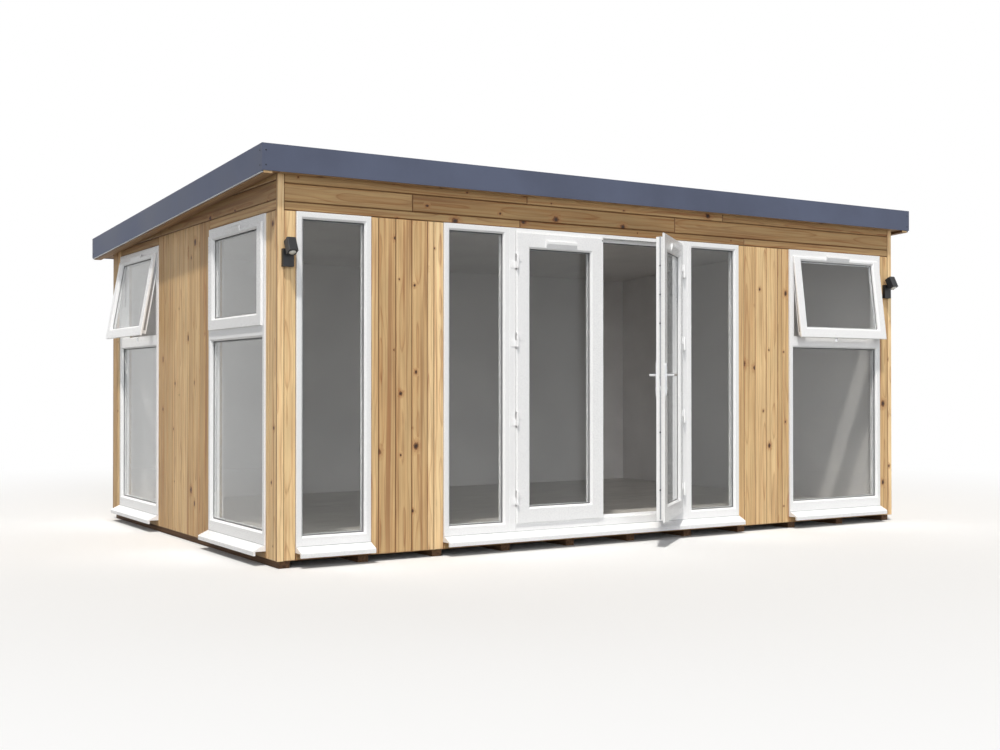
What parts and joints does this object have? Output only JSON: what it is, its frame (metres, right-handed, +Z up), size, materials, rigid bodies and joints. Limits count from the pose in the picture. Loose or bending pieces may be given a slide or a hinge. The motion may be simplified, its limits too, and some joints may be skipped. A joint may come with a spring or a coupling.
{
  "type": "garden office pod",
  "caption": "Timber-clad garden room with a shallow roof, full-height white windows and outward-opening French doors.",
  "frame": {"origin": "on the ground under the middle of the floor, at the foot of the middle bearer", "axes": "+X along the front towards the right end, +Y from the front to the back, +Z up"},
  "size_m": [5.7655, 4.3444, 2.5977],
  "materials": {
    "floor_timber": "sawn, treated",
    "floor_laminate": "satin",
    "cladding_pine": "oiled, satin",
    "soffit_pine": "oiled, satin",
    "wall_panel": "painted, matt",
    "painted_lining": "matt paint",
    "roof_membrane": "matt",
    "fascia_metal": "satin powder coat",
    "window_glass": "clear",
    "handle_steel": "satin",
    "lamp_black": "satin powder coat",
    "white_upvc": "smooth satin"
  },
  "bodies": {
    "building": {"back_cladding": "cladding_pine", "back_fascia": "fascia_metal", "back_wall": "wall_panel", "ceiling_lining": "painted_lining", "corner_trims": "cladding_pine", "door_head": "white_upvc", "door_jambs": "white_upvc", "door_threshold": "white_upvc", "fixed_glass": "window_glass", "floor_bearers": "floor_timber", "floor_deck": "floor_timber", "floor_finish": "floor_laminate", "floor_joists": "floor_timber", "frame_hinges": "white_upvc", "front_casement_frame": "white_upvc", "front_casement_sash": "white_upvc", "front_cladding": "cladding_pine", "front_fascia": "fascia_metal", "front_wall_header": "wall_panel", "front_wall_piers": "wall_panel", "left_cladding": "cladding_pine", "left_fascia": "fascia_metal", "left_sidelight_frame": "white_upvc", "left_wall_header": "wall_panel", "left_wall_piers": "wall_panel", "narrow_window_frame": "white_upvc", "right_cladding": "cladding_pine", "right_fascia": "fascia_metal", "right_sidelight_frame": "white_upvc", "right_wall": "wall_panel", "roof_membrane": "roof_membrane", "roof_panel": "wall_panel", "sash_glass": "window_glass", "side_back_casement_frame": "white_upvc", "side_back_casement_sash": "white_upvc", "side_front_casement_frame": "white_upvc", "side_front_casement_sash": "white_upvc", "soffit_boards": "soffit_pine", "wall_lights": "lamp_black", "wall_lining": "painted_lining", "window_sills": "white_upvc", "window_vents": "white_upvc"},
    "left_door": {"left_door_leaf": "white_upvc", "left_door_glass": "window_glass", "left_door_hardware": "white_upvc"},
    "right_door": {"right_door_leaf": "white_upvc", "right_door_glass": "window_glass", "right_door_hardware": "white_upvc", "door_handles": "handle_steel"}
  },
  "joints": [
    {"name": "left_door_hinge", "type": "hinge", "parent": "building", "child": "left_door", "pos_m": [-1.0115, -1.8595, 0.9], "axis": [0, 0, 1], "range_deg": [-90, 0]},
    {"name": "right_door_hinge", "type": "hinge", "parent": "building", "child": "right_door", "pos_m": [0.4655, -1.8595, 0.9], "axis": [0, 0, 1], "range_deg": [-40, 50]}
  ]
}
